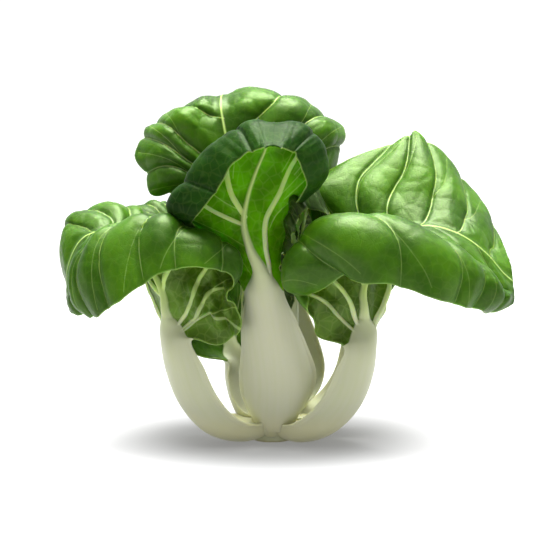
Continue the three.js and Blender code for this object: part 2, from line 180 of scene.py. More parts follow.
FRONT_LEAF = dict(heading=270, stalk=[
    (1, -9, 9, 11, 6),
    (2, -17, 19, 15.5, 8),
    (2.5, -21, 30, 16.5, 8),
    (1, -24, 44, 14, 7),
    (-1.5, -24.5, 58, 11, 5),
    (-3.5, -24.5, 69, 8.5, 3.5),
], blade=[
    ((-18, -16, 80), (-12, -19, 78), (-5, -24.5, 78), (0, -22, 79), (4, -18, 82)),
    ((-33, -22, 97), (-23, -16, 91), (-9.5, -24, 88.5), (1, -20.5, 91), (6.5, -18, 94)),
    ((-32, -37, 103), (-42, -23, 105), (-12, -22.6, 99), (5, -20, 104), (10, -21, 105)),
    ((-24.5, -40, 114), (-35, -25, 118), (-10.5, -21.6, 109), (19, -22, 118),
     (14.5, -34, 116)),
    ((-17, -41, 125), (-25.5, -25, 130), (-7, -21, 120), (20.5, -24, 130), (12.5, -39, 125)),
    ((-11, -42, 131), (-16, -25, 138), (-2.5, -22, 131), (16.5, -24, 138), (11, -41, 131)),
    ((-6, -43, 132.8), (-8, -28, 142), (0.5, -27, 141.5), (10, -28, 141.5), (8, -42, 132.4)),
    ((-3, -43.5, 132), (-1.5, -43, 132.8), (0.5, -42.5, 133), (2.5, -43, 132.8), (4, -43.5, 132)),
])

BACK_LEAF = dict(heading=90, stalk=[
    (3, 8, 9, 10, 5),
    (6, 17, 14, 14, 7),
    (8, 23, 27, 15.5, 7),
    (6, 26, 44, 13.5, 6),
    (1, 27, 61, 11, 5),
    (-5, 27, 77, 9, 4),
], blade=[
    ((9, 22, 88), (0, 24, 88), (-10, 27, 87), (-20, 24, 88), (-28, 22, 88)),
    ((18, 24, 104), (8, 20, 104), (-13, 25, 99), (-30, 20, 104), (-40, 22, 104)),
    ((26, 28, 116), (14, 18, 119), (-16, 23, 113), (-40, 16, 117), (-53.5, 24, 107)),
    ((33, 33, 130), (18, 18, 135), (-19, 22, 125.5), (-45, 18, 129), (-61, 30, 121)),
    ((27, 40, 140.5), (12, 22, 144), (-21.5, 24, 137), (-43, 22, 141), (-58.5, 38, 135.5)),
    ((12, 46, 146.5), (1, 28, 150), (-23, 28, 145.5), (-35, 28, 147), (-44, 46, 142.5)),
    ((-5, 50, 148.5), (-10, 37, 152), (-23, 35, 149.5), (-31, 36, 149), (-34, 50, 144.5)),
    ((-17, 51, 148), (-19, 50.5, 148.5), (-21, 50, 148), (-23, 50.5, 147.5), (-25, 51, 146.5)),
])

# %% [markdown]
# The four leaves in the heart are young and hidden for the most part, so they share one
# pattern. It is written in a leaf's own directions, out from the head, sideways and up,
# and each leaf turns, squeezes and lifts it.

# %% Guide points of the young leaves
PATTERN_STALK = [  # out, up, half width, cupping
    (3, 7, 9, 4),
    (12, 10, 13, 6),
    (20, 21, 15, 7),
    (25, 35, 14, 6.5),
    (27, 49, 11.5, 5.5),
    (28, 61, 9, 4),
]
PATTERN_BLADE = [  # midrib out, up; crest side, out, up; hem side, out, up
    (28, 69, 11, 26, 72, 19, 22, 72),
    (29, 79, 20, 23, 86, 31, 27, 84),
    (30, 90, 27, 25, 99, 38, 38, 92),
    (32, 101, 28, 29, 110, 37, 45, 101),
    (37, 110, 22, 36, 118, 30, 53, 108),
    (45, 116, 14, 45, 120, 19, 59, 110),
    (54, 114, 6, 54, 115, 8, 62, 107),
    (61, 106, 1.5, 61, 106, 2.5, 61.5, 105),
]


def young_leaf(heading, size, spread, width, lift):
    """The pattern scaled by size, squeezed outwards by spread and sideways by width,
    turned to its heading and lifted on the stem."""
    turn = math.radians(heading)

    def place(out, side, up):
        away = out * size * spread
        across = side * size * width
        return (
            away * math.cos(turn) - across * math.sin(turn),
            away * math.sin(turn) + across * math.cos(turn),
            up * size + lift,
        )

    stalk = [
        (*place(out, 0, up), half_width * size, cupping * size)
        for out, up, half_width, cupping in PATTERN_STALK
    ]
    blade = [
        (
            place(hem_out, -hem_side, hem_up),
            place(crest_out, -crest_side, crest_up),
            place(mid_out, 0, mid_up),
            place(crest_out, crest_side, crest_up),
            place(hem_out, hem_side, hem_up),
        )
        for mid_out, mid_up, crest_side, crest_out, crest_up, hem_side, hem_out, hem_up
        in PATTERN_BLADE
    ]
    return {"heading": heading, "stalk": stalk, "blade": blade}


YOUNG_LEAVES = {
    "inner_right_leaf": young_leaf(heading=350, size=1.0, spread=0.35, width=0.75, lift=-6),
    "inner_left_leaf": young_leaf(heading=175, size=0.78, spread=0.55, width=0.55, lift=3),
    "inner_back_leaf": young_leaf(heading=80, size=0.66, spread=0.4, width=0.5, lift=4),
    "heart_leaf": young_leaf(heading=262, size=0.55, spread=0.3, width=0.5, lift=5),
}
OUTER_LEAVES = {
    "left_leaf": LEFT_LEAF,
    "right_leaf": RIGHT_LEAF,
    "front_leaf": FRONT_LEAF,
    "back_leaf": BACK_LEAF,
    "right_back_leaf": RIGHT_BACK_LEAF,
    "back_left_leaf": BACK_LEFT_LEAF,
}
print("leaves:", *OUTER_LEAVES, *YOUNG_LEAVES)

# %% [markdown]
# ## From guide points to a smooth sheet
#
# A spline through the guide points gives the middle sheet of the leaf. Plain cubic pieces
# are enough, if the slope at each point looks at the distance to both neighbours: equal
# steps would make the curve overshoot where two guide rows lie close together.

# %% Smooth curves and the sheet
ACROSS = np.array([-1.0, -0.5, 0.0, 0.5, 1.0])  # where the five columns lie across a leaf
SHORTEST_STEP = 4.0  # mm, keeps the tip's close rows apart


def slopes(knots, values):
    """The slope at a knot is the mean of the chords on its two sides, the nearer chord
    weighing more. At an end it is one and a half chords less half the next slope."""
    fill = (-1,) + (1,) * (values.ndim - 1)
    step = np.diff(knots)
    chord = np.diff(values, axis=0) / step.reshape(fill)
    near = (step[1:] / (step[1:] + step[:-1])).reshape(fill)
    slope = np.empty_like(values)
    slope[1:-1] = near * chord[:-1] + (1 - near) * chord[1:]
    slope[0] = 1.5 * chord[0] - 0.5 * slope[1]
    slope[-1] = 1.5 * chord[-1] - 0.5 * slope[-2]
    return slope


def cubic(t, step, left, right, left_slope, right_slope):
    """The cubic Hermite piece: t runs from 0 to 1 over a step with these end values."""
    return (
        (2 * t**3 - 3 * t**2 + 1) * left
        + (t**3 - 2 * t**2 + t) * step * left_slope
        + (3 * t**2 - 2 * t**3) * right
        + (t**3 - t**2) * step * right_slope
    )


def piece_at(knots, at):
    """The number of the piece between two knots in which each place lies."""
    return np.clip(np.searchsorted(knots, at, side="right") - 1, 0, len(knots) - 2)


def smooth_curve(knots, values, at):
    """Cubic pieces through values at the knots."""
    slope = slopes(knots, values)
    piece = piece_at(knots, at)
    fill = (-1,) + (1,) * (values.ndim - 1)
    step = knots[piece + 1] - knots[piece]
    t = ((at - knots[piece]) / step).reshape(fill)
    return cubic(t, step.reshape(fill), values[piece], values[piece + 1],
                 slope[piece], slope[piece + 1])


def smooth_step(low, high, value):
    """0 below low, 1 above high, and a smooth cubic ramp between."""
    t = np.clip((value - low) / (high - low), 0.0, 1.0)
    return t * t * (3 - 2 * t)


def guide_rows(leaf):
    """All rows of a leaf with five points each. A stalk row is its middle point plus the
    half width sideways and the cupping inwards, which grows with the square of the way out."""
    turn = math.radians(leaf["heading"])
    side = np.array([-math.sin(turn), math.cos(turn), 0.0])
    stalk = np.array(leaf["stalk"], float)
    blade = np.array(leaf["blade"], float)
    middle = np.vstack([stalk[:, :3], blade[:1, 2]])
    ahead = middle[1:] - middle[np.maximum(np.arange(len(stalk)) - 1, 0)]
    inward = np.cross(ahead, side)
    inward /= np.linalg.norm(inward, axis=1, keepdims=True)
    reach = stalk[:, 3, None, None] * ACROSS[None, :, None] * side
    curl = stalk[:, 4, None, None] * ACROSS[None, :, None] ** 2 * inward[:, None, :]
    return np.vstack([stalk[:, None, :3] + reach + curl, blade])


def prepare(leaf):
    """Adds to a leaf its rows and the knots along it: the length of the midrib in mm."""
    rows = guide_rows(leaf)
    steps = np.linalg.norm(np.diff(rows[:, 2], axis=0), axis=1)
    leaf["rows"] = rows
    leaf["knots"] = np.concatenate([[0.0], np.cumsum(np.maximum(steps, SHORTEST_STEP))])
    leaf["first_blade"] = len(leaf["stalk"])
    return leaf


def knot_of(leaf, row):
    """Where a row lies along the leaf. Row 0 is the first of the blade, and the stalk's
    rows count down from -1."""
    return np.interp(np.asarray(row, float) + leaf["first_blade"],
                     np.arange(len(leaf["knots"])), leaf["knots"])


def sheet_points(leaf, along, across):
    """The sheet at every pair of along and across: first a smooth curve down each of the
    five columns, then one across them. across has one row for each along, or one for all."""
    columns = smooth_curve(leaf["knots"], leaf["rows"], along)
    slope = slopes(ACROSS, columns.swapaxes(0, 1)).swapaxes(0, 1)
    across = np.broadcast_to(across, (len(along), np.shape(across)[-1]))
    piece = piece_at(ACROSS, across)
    step = ACROSS[1] - ACROSS[0]
    row = np.arange(len(along))[:, None]
    t = ((across - ACROSS[piece]) / step)[..., None]
    return cubic(t, step, columns[row, piece], columns[row, piece + 1],
                 slope[row, piece], slope[row, piece + 1])


def sheet_normals(points):
    """Unit normals of a grid of points, from its slopes along and across. They point to
    the inner face, the one that a young leaf turns to the heart."""
    normal = np.cross(np.gradient(points, axis=0), np.gradient(points, axis=1))
    return normal / np.maximum(np.linalg.norm(normal, axis=2, keepdims=True), 1e-9)


def length_along(points, axis):
    """Running length of the grid's lines, starting from nought."""
    steps = np.linalg.norm(np.diff(points, axis=axis), axis=2)
    pad = [(0, 0), (0, 0)]
    pad[axis] = (1, 0)
    return np.pad(np.cumsum(steps, axis=axis), pad)

# %% [markdown]
# ## Veins
#
# The midrib is the thick middle of the blade, and side veins leave it like ribs. A side
# vein is given by a few rows: where it leaves the middle, where it crosses the crest of
# the blade and where it meets the hem. The strong ones at the foot of the blade start
# inside the stalk, a little off its middle, which makes the fan seen under each leaf.
# Painted veins would only colour a leaf. As curves on the sheet they shape it as well.

# %% Side veins of each leaf
# (side, leaves at row, starts across, crosses crest at row, meets hem at row, half width in mm)
# a seventh number says how far across the middle stop lies, where it is not on the crest
LEFT_LEAF["veins"] = [
    (1, -0.9, 0.5, 0.7, 1.1, 0.5),
    (1, -0.6, 0.42, 2.3, 2.8, 0.5),
    (1, -0.5, 0.25, 4.5, 5, 0.65),
    (1, 2.4, 0, 6.1, 6.5, 1),
    (1, 4.6, 0, 7.1, 7.4, 1),
    (1, 6.3, 0, 8.1, 8.4, 0.9),
    (1, 7.6, 0, 9, 9.3, 0.7),
    (1, 8.8, 0, 9.8, 10.1, 0.6),
    (-1, -0.8, 0.5, 0.9, 1.5, 0.9),
    (-1, -0.5, 0.25, 3, 3.6, 1.2),
    (-1, 1.6, 0, 5, 5.7, 1),
    (-1, 4.2, 0, 6.5, 7, 0.9),
    (-1, 6.1, 0, 7.6, 8.1, 0.8),
    (-1, 7.4, 0, 8.6, 9.1, 0.7),
    (-1, 8.6, 0, 9.5, 9.9, 0.6),
]
RIGHT_LEAF["veins"] = [
    (-1, -0.6, 0.35, 1.9, 2.4, 0.5),
    (-1, -0.5, 0.18, 3.3, 5.5, 0.9, 0.26),
    (-1, 3, 0, 7.15, 7.6, 1.1),
    (-1, 6.9, 0, 8.9, 9.1, 1),
    (-1, 8.2, 0, 9.6, 9.8, 0.8),
    (-1, 9.6, 0, 10.6, 10.9, 0.5),
    (1, -0.9, 0.5, 1.2, 1.8, 0.9),
    (1, -0.5, 0.22, 3.8, 4.6, 1.4),
    (1, 3.2, 0, 6.5, 7.9, 1.2),
    (1, 5.6, 0, 8, 8.3, 1.3),
    (1, 7.8, 0, 9.1, 9.3, 0.9),
    (1, 9, 0, 10, 10.3, 0.9),
    (1, 10.2, 0, 11, 11.2, 0.6),
]
FRONT_LEAF["veins"] = [
    (-1, -0.6, 0.25, 1, 1.3, 0.4),
    (-1, 0.9, 0, 1.9, 2.2, 0.4),
    (-1, 1.9, 0, 2.75, 3, 0.7),
    (-1, 2.55, 0.05, 3.2, 3.45, 0.4),
    (-1, 2.3, 0, 5, 5.4, 1),
    (-1, 3.4, 0.15, 4.2, 4.5, 0.4),
    (-1, 3.65, 0.16, 6, 6.4, 0.4),
    (1, -0.8, 0.4, 3.85, 5.3, 1, 0.25),
    (1, 1.6, 0.34, 2.4, 2.8, 0.4),
    (1, 2.6, 0.3, 3.5, 3.8, 0.4),
    (1, 3.5, 0.28, 4.2, 4.5, 0.4),
    (1, 3.8, 0.2, 5.9, 6.2, 0.4),
]
BACK_LEAF["veins"] = [
    (1, -0.6, 0.25, 1.1, 1.5, 1.1),
    (1, 0.6, 0, 2.15, 2.6, 1),
    (1, 1.3, 0, 2.9, 3.75, 1.1),
    (1, 2.2, 0, 3.6, 4.35, 1.1),
    (1, 4.4, 0, 4.9, 5, 0.8),
    (-1, -0.6, 0.25, 0.9, 1.4, 1.1),
    (-1, 0.7, 0, 2.2, 2.8, 1),
    (-1, 1.8, 0, 3.5, 4.1, 1),
    (-1, 3.3, 0, 4.9, 5.3, 1),
]


def even_veins(width):
    """Eight veins on each side at even steps, for a leaf that hides its own."""
    veins = []
    for number in range(8):
        side = 1 if number % 2 else -1
        start = 0.55 * number - 0.6
        veins.append((side, start, 0.0, start + 1.6, start + 2.1, width))
        veins.append((-side, start + 0.25, 0.0, start + 1.85, start + 2.3, width))
    return veins


BACK_LEFT_LEAF["veins"] = even_veins(width=1.1)
RIGHT_BACK_LEAF["veins"] = even_veins(width=1.1)
for young in YOUNG_LEAVES.values():
    young["veins"] = even_veins(width=0.8)
print("side veins:", [len(leaf["veins"]) for leaf in (OUTER_LEAVES | YOUNG_LEAVES).values()])

# %% [markdown]
# A vein becomes a string of points on the sheet, a fraction of a millimetre apart, each
# with the vein's half width there. From these strings every grid point learns its distance
# to the nearest vein and on which side of it it lies. The signed distance changes evenly
# from one grid point to the next, so a line drawn where it is nought stays thin and sharp.

# %% Veins as points on the sheet
VEIN_POINTS = 240  # points on one vein
VEIN_END = 0.25  # mm, half width of a vein where it meets the hem
BATCH = 4096  # grid points compared at a time, to spare memory
FORK = 0.36  # how far out along a vein its twig leaves it
THIN = 0.45  # mm, half width under which a vein counts as a twig
CREST_COLUMN = 0.5  # how far across a vein's middle stop lies, if not told


def vein_course(vein, share):
    """Row and distance across at each share of the way along a side vein: a smooth curve
    through its start, its crossing of the crest and its end at the hem."""
    start, start_across, crest, hem = vein[1:5]
    crest_across = vein[6] if len(vein) > 6 else CREST_COLUMN
    stops = np.array([(start, start_across), (crest, crest_across), (hem, 1.0)])
    return smooth_curve(np.array([0.0, 0.5, 1.0]), stops, share)


def on_sheet(leaf, side, course):
    """Points of the sheet along a course of rows and distances across."""
    return sheet_points(leaf, knot_of(leaf, course[:, 0]), side * course[:, 1:])[:, 0]


def vein_points(leaf, vein):
    """One side vein as points and half widths. It thins out towards the hem."""
    share = np.linspace(0.0, 1.0, VEIN_POINTS)
    points = on_sheet(leaf, vein[0], vein_course(vein, share))
    return points, VEIN_END + (vein[5] - VEIN_END) * (1 - share) ** 0.8


def twig_points(leaf, vein, following):
    """A fork: it leaves one vein before the crest and ends near the hem, halfway to the
    vein that follows on the same side."""
    share = np.linspace(0.0, 1.0, VEIN_POINTS)
    leaves = vein_course(vein, np.array([FORK]))[0]
    end = np.array([(vein[4] + following[4]) / 2, 0.94])
    bend = leaves * 0.5 + end * 0.5 + np.array([0.1, -0.06])
    course = smooth_curve(np.array([0.0, 0.5, 1.0]), np.stack([leaves, bend, end]), share)
    points = on_sheet(leaf, vein[0], course)
    return points, VEIN_END + (vein[5] * 0.4 - VEIN_END) * (1 - share)


def squared_gaps(points, beads):
    """Squared distances of all points to all beads: the two squared lengths less twice
    the product of the vectors."""
    return (points**2).sum(axis=1)[:, None] + (beads**2).sum(axis=1) - 2 * points @ beads.T


def nearest_vein(points, normals, veins):
    """For every grid point, in mm: the distance to the nearest vein point, the signed
    distance to the line along the vein there, and the vein's half width there."""
    flat = points.reshape(-1, 3)
    up = normals.reshape(-1, 3)
    beads = np.vstack([path for path, widths in veins])
    ahead = np.vstack([np.gradient(path, axis=0) for path, widths in veins])
    ahead /= np.maximum(np.linalg.norm(ahead, axis=1, keepdims=True), 1e-9)
    half = np.concatenate([widths for path, widths in veins])
    gap, signed, wide = np.empty((3, len(flat)))
    for first in range(0, len(flat), BATCH):
        part = slice(first, first + BATCH)
        nearest = squared_gaps(flat[part], beads).argmin(axis=1)
        offset = flat[part] - beads[nearest]
        gap[part] = np.linalg.norm(offset, axis=1)
        signed[part] = (np.cross(up[part], ahead[nearest]) * offset).sum(axis=1)
        wide[part] = half[nearest]
    shape = points.shape[:2]
    return gap.reshape(shape), signed.reshape(shape), wide.reshape(shape)


# %% [markdown]
# Between the side veins lies a finer net, with meshes of about seven millimetres. Seeds
# scattered over the blade give it: a point belongs to its nearest seed, and the net runs
# where the two nearest seeds are equally far.

# %% The fine net
NET_HALF_WIDTH = 40  # mm, the half width of a blade that the net is made for
SHIFT = 0.36  # of a mesh, how far a seed may be shifted


def nearest_net(points, seeds):
    """Distance in mm from every grid point to the border between its two nearest seeds:
    the difference of the squared distances over twice the distance between the seeds."""
    flat = points.reshape(-1, 3)
    border = np.empty(len(flat))
    for first in range(0, len(flat), BATCH):
        part = slice(first, first + BATCH)
        squared = squared_gaps(flat[part], seeds)
        two = np.argpartition(squared, 1, axis=1)[:, :2]
        near = np.take_along_axis(squared, two, axis=1)
        apart = np.linalg.norm(seeds[two[:, 0]] - seeds[two[:, 1]], axis=1)
        border[part] = np.abs(near[:, 1] - near[:, 0]) / (2 * np.maximum(apart, 1e-6))
    return border.reshape(points.shape[:2])


def scatter_seeds(leaf, mesh_size):
    """A grid of seeds on the sheet, one for each mesh of the net, each shifted at random
    by up to a little more than a third of a mesh."""
    length = leaf["knots"][-1]
    long_count = int(length / mesh_size)
    wide_count = int(2 * NET_HALF_WIDTH * leaf["scale"] / mesh_size)
    along, across = np.meshgrid(
        np.arange(long_count) + 0.5, np.arange(wide_count) + 0.5, indexing="ij")
    along = (along + dice.uniform(-SHIFT, SHIFT, along.shape)) / long_count * length
    across = (across + dice.uniform(-SHIFT, SHIFT, across.shape)) / wide_count * 2 - 1
    pairs = sheet_points(leaf, along.ravel(), across.ravel()[:, None])
    return pairs[:, 0]


# %% [markdown]
# ## The grown leaf
#
# The sheet now gets its body. Between the veins the blade puffs up towards its inner face,
# so both faces share the relief: veins lie in grooves inside and stand out as ribs
# outside. The hem is drawn in where a side vein pulls at it and waves between. The stalk
# is thick in the middle and thin at its edges, and tapers into the midrib. A Displace
# modifier with a noise would raise bumps anywhere, while here the veins say where.

# %% Sizes of the grown leaf, in mm
LAMINA = 0.75  # thickness of the green blade
FLANGE = 1.5  # thickness of a stalk's side edges
HEM = 0.4  # thickness of the blade's rim
HEM_TAPER = 1.6  # how far in from the rim the blade has its full thickness
STALK_FOOT = 9.0  # thickness of a stalk's middle at the stem
STALK_TOP = 5.0  # and where the blade starts
MIDRIB_TIP = 1.2  # thickness of the midrib at the tip
MIDRIB = [3.2, 2.1, 1.7, 1.5, 1.3, 1.1, 0.9, 0.7, 0.6, 0.5, 0.45, 0.4, 0.4]  # half widths
SLIM_MIDRIB = [3.4, 1.8, 1.2, 0.9, 0.7, 0.5, 0.4, 0.3]  # for blades with fewer rows
PUFF = 2.4  # how far the blade rises between side veins
PUFF_REACH = 5.5  # and over what distance
TWIG_PUFF = 0.6  # the same between twigs
TWIG_REACH = 2.6
NET_PUFF = 0.25  # and in the meshes of the net
NET_REACH = 1.5
NET_MESH = 7.0  # width of a mesh
SWELL = 0.7  # long waves over the whole blade
SWELL_LENGTH = 33.0
PULL_REACH = 5.0  # how far along the hem the pull of a vein reaches
WAVE_LENGTH = 17.0  # the hem's own waves
WAVE_REACH = 5.0  # and how far in they reach
CRUMPLES = [(9.0, 1.0), (5.0, 0.6)]  # wave length, and share of the crumples' depth
GROOVE = 0.45  # how deep a vein lies in the inner face
GROOVE_REACH = 0.9

# %% [markdown]
# The leaves differ in a few numbers. puff says how full the pillows are, and pull how much
# of its width the hem gives way at a vein. The rest come in mm: wave is the hem's waves,
# roll how far the blade bulges between crest and hem, left and right, and crumple how
# deep the ears at its foot are crumpled. shown says how plain the inner face's veins are.

# %% How the leaves differ
LEFT_LEAF.update(puff=1.1, pull=0.035, wave=0.6, roll=(1.0, 2.5), shown=(0.5, 0.5),
                 midrib=MIDRIB, crumple=(0.0, 3.0))
RIGHT_LEAF.update(puff=0.9, pull=0.03, wave=0.4, roll=(5.0, 1.0), shown=(0.35, 0.6),
                  midrib=MIDRIB, crumple=(0.8, 0.8))
FRONT_LEAF.update(puff=0.7, pull=0.0, wave=0.3, roll=(1.5, 1.5), shown=(0.0, 0.0))
BACK_LEAF.update(puff=1.3, pull=0.05, wave=0.5, roll=(0.0, 0.0), shown=(0.7, 0.6))
for hidden in (RIGHT_BACK_LEAF, BACK_LEFT_LEAF):
    hidden.update(puff=1.1, pull=0.05, wave=1.0, roll=(1.0, 1.0), shown=(0.5, 0.5))
for young in YOUNG_LEAVES.values():
    young.update(puff=1.2, pull=0.08, wave=2.2, roll=(0.0, 0.0), shown=(0.15, 0.15),
                 scale=0.6)
for leaf in (OUTER_LEAVES | YOUNG_LEAVES).values():
    leaf.setdefault("midrib", SLIM_MIDRIB)
    leaf.setdefault("crumple", (0.0, 0.0))
    leaf.setdefault("scale", 1.0)


def leaf_row(leaf, along):
    """The row number at each point along the leaf, 0 at the first row of the blade."""
    return np.interp(along, leaf["knots"], np.arange(len(leaf["knots"]))) - leaf["first_blade"]


def core_half_width(leaf, along):
    """Half width of the thick white middle: the whole stalk, then the midrib."""
    stalk = [row[3] for row in leaf["stalk"]]
    blade = np.array(leaf["midrib"][: len(leaf["blade"])]) * leaf["scale"]
    return np.interp(along, leaf["knots"], np.concatenate([stalk, blade]))

# %% [markdown]
# At the edges a leaf does three things of its own. The hem gives way where a vein pulls
# at it, the blade rolls over between crest and hem, and the ears at its foot crumple.

# %% Hem, roll and ears
CREST = 0.4  # share of the half width where the roll starts
TURN_UNDER = 0.9  # how far the hem turns under, as a share of the bulge


def hem_pull(leaf, along, side):
    """How much narrower the blade is at each point along one hem: a bell-shaped dip
    where each side vein meets the hem."""
    ends = knot_of(leaf, [vein[4] for vein in leaf["veins"] if vein[0] == side])
    dips = np.exp(-(((along[:, None] - ends) / PULL_REACH) ** 2)).max(axis=1)
    return 1.0 - leaf["pull"] * dips * smooth_step(0.0, 1.0, leaf_row(leaf, along) + 0.5)


def hem_roll(leaf, row, spread):
    """How far the blade bulges beyond its crest and then turns under at the hem: half a
    sine wave from crest to hem, less the cube of the way out."""
    out = np.clip((np.abs(spread) - CREST) / (1 - CREST), 0.0, 1.0)
    ends = smooth_step(0.0, 2.5, row) * smooth_step(0.0, 1.5, len(leaf["blade"]) - 1 - row)
    size = np.where(spread < 0, *leaf["roll"])
    return size * ends * (np.sin(math.pi * out) - TURN_UNDER * out**3)


def ear_size(leaf, row, spread):
    """How much the ears crumple: fully on rows 1 to 2.6 of the blade and beyond 0.6 of
    its half width, with soft ends."""
    size = np.where(spread < 0, *leaf["crumple"])
    size = size * smooth_step(0.15, 0.6, np.abs(spread))
    return size * smooth_step(-0.3, 1.0, row) * (1 - smooth_step(2.6, 4.2, row))


def ripple(points, wave_length, size):
    """Gentle waves in three random directions, added up."""
    total = np.zeros(points.shape[:2])
    for _ in range(3):
        direction = dice.normal(size=3)
        direction /= np.linalg.norm(direction)
        phase = dice.uniform(0, 2 * math.pi)
        total += np.sin(points @ direction * (2 * math.pi / wave_length) + phase)
    return total * size / 3

# %% [markdown]
# Growing a leaf starts with its smooth sheet. Each grid point is told where it lies and
# how far its vein, its twig and the net are, and the later steps only read these arrays.

# %% The smooth sheet and where its points lie
def lay_out(leaf, grid):
    """The sheet on a grid. row counts along the leaf, spread runs from -1 to 1 across it,
    and the rest is in mm: along the leaf, from the hem, from the middle line, and core,
    the half width of the white middle."""
    along = np.linspace(0.0, leaf["knots"][-1], grid[0])
    spread = np.linspace(-1.0, 1.0, grid[1])
    width = np.where(spread < 0, hem_pull(leaf, along, -1)[:, None],
                     hem_pull(leaf, along, 1)[:, None])
    sheet = sheet_points(leaf, along, spread * width)
    across = length_along(sheet, axis=1)
    half = grid[1] // 2
    return SimpleNamespace(
        along=along,
        spread=spread,
        row=leaf_row(leaf, along)[:, None],
        sheet=sheet,
        normal=sheet_normals(sheet),
        hem=np.minimum(across, across[:, -1:] - across),
        middle=across - across[:, half:half + 1],
        core=core_half_width(leaf, along)[:, None],
    )


def find_veins(leaf, at):
    """Adds the distances to the nearest side vein, twig and border of the net. Thin side
    veins count as twigs, and a twig forks off between each two veins of one side."""
    mains = [vein_points(leaf, vein) for vein in leaf["veins"] if vein[5] >= THIN]
    twigs = [vein_points(leaf, vein) for vein in leaf["veins"] if vein[5] < THIN]
    for side in (-1, 1):
        same = sorted((v for v in leaf["veins"] if v[0] == side), key=lambda v: v[4])
        twigs += [twig_points(leaf, v, after) for v, after in zip(same[:-1], same[1:])]
    at.vein_gap, at.vein_side, at.vein_wide = nearest_vein(at.sheet, at.normal, mains)
    at.twig_gap, at.twig_side, _ = nearest_vein(at.sheet, at.normal, twigs)
    at.net_gap = nearest_net(at.sheet, scatter_seeds(leaf, NET_MESH * leaf["scale"]))

# %% [markdown]
# The relief comes next, then the two faces. A pillow levels off with the distance from
# its border, as an exponential does, which keeps the creases sharp and the pillows soft.

# %% Relief and thickness
def relief(leaf, at):
    """How far the sheet rises to its inner face in mm: pillows, height times one half
    less e to the minus distance over reach, with swells, roll, crumples and waves."""
    creased = np.maximum(np.abs(at.middle) - at.core, 0) + 2 * (at.row < 0)
    pillows = [
        (PUFF, PUFF_REACH, np.minimum(at.vein_gap, creased)),
        (TWIG_PUFF, TWIG_REACH, at.twig_gap),
        (NET_PUFF, NET_REACH, at.net_gap),
    ]
    puff = leaf["puff"]
    rise = sum(high * puff * (0.5 - np.exp(-gap / reach)) for high, reach, gap in pillows)
    rise = at.blade * (rise + ripple(at.sheet, SWELL_LENGTH, SWELL * puff))
    wave = leaf["wave"] * np.exp(-at.hem / (WAVE_REACH * leaf["scale"]))
    wave = wave * smooth_step(0.0, 1.5, at.row)
    phase = dice.uniform(0, 2 * math.pi)
    rise += hem_roll(leaf, at.row, at.spread)
    rise += ear_size(leaf, at.row, at.spread) * sum(
        ripple(at.sheet, length, share) for length, share in CRUMPLES)
    along = at.along[:, None]
    return rise + wave * np.sin(along * (2 * math.pi / (WAVE_LENGTH * leaf["scale"])) + phase
                                + 2.0 * np.sin(along / (9.0 * leaf["scale"])))


def thicknesses(leaf, at):
    """How far the inner and the outer face lie from the sheet in mm: half the skin, a
    parabola over the stalk and midrib, mostly outside, and along each side vein a bell
    outside and a groove inside."""
    first_blade = leaf["knots"][leaf["first_blade"]]
    tip = leaf["knots"][-1]
    fade = np.clip((at.along - first_blade) / (tip - first_blade), 0, 1)
    thick = np.where(
        at.along < first_blade,
        STALK_FOOT + (STALK_TOP - STALK_FOOT) * at.along / first_blade,
        STALK_TOP + (MIDRIB_TIP - STALK_TOP) * np.sqrt(fade),
    )[:, None] * leaf["scale"]
    skin = FLANGE + (LAMINA - FLANGE) * smooth_step(-1.5, 0.8, at.row)
    skin = skin * (HEM / LAMINA + (1 - HEM / LAMINA) * smooth_step(0.0, HEM_TAPER, at.hem))
    hump = np.maximum(thick - skin, 0) * np.clip(1 - (at.middle / at.core) ** 2, 0, 1)
    outside = 0.6 + 0.25 * smooth_step(-0.5, 1.5, at.row)
    foot = np.maximum(at.vein_wide, 0.6)
    rib = at.vein_wide * np.exp(-((at.vein_gap / foot) ** 2)) * smooth_step(-1.2, -0.2, at.row)
    outer = skin / 2 + ((hump * outside) ** 4 + rib**4) ** 0.25
    groove = GROOVE * at.blade * np.exp(-((at.vein_gap / GROOVE_REACH) ** 2))
    return skin / 2 + hump * (1 - outside) - groove, outer

# %% [markdown]
# The finish has to know where it is, too. Most facts are the same on both faces, and a
# pair gives one for the inner and one for the outer face: the white midrib and the veins
# show less inside, where the green covers them.

# %% Facts for the finish, and the whole leaf
FLAT_SCALE = 0.01  # the flat map counts in decimetres
STALK_COVER = 30.0  # mm, more than any stalk's half width


def facts_for_finish(leaf, at):
    """core_edge is the distance beyond the white middle, which covers the whole stalk."""
    whole_stalk = STALK_COVER * (1 - smooth_step(-1.8, -0.9, at.row))
    edge = np.abs(at.middle) - at.core - whole_stalk
    covered = 0.45 * at.core + (0.0 if max(leaf["shown"]) else 5.0)
    shown = np.where(at.spread < 0, *leaf["shown"])
    return {
        "core_edge": (edge + covered * smooth_step(0.0, 3.0, at.row), edge),
        "vein_gap": at.vein_gap,
        "vein_side": at.vein_side,
        "vein_wide": at.vein_wide,
        "vein_shown": (np.broadcast_to(shown, at.hem.shape), np.ones_like(at.hem)),
        "twig_gap": at.twig_gap,
        "twig_side": at.twig_side,
        "hem_gap": at.hem,
        "climb": np.broadcast_to(at.row, at.hem.shape),
    }


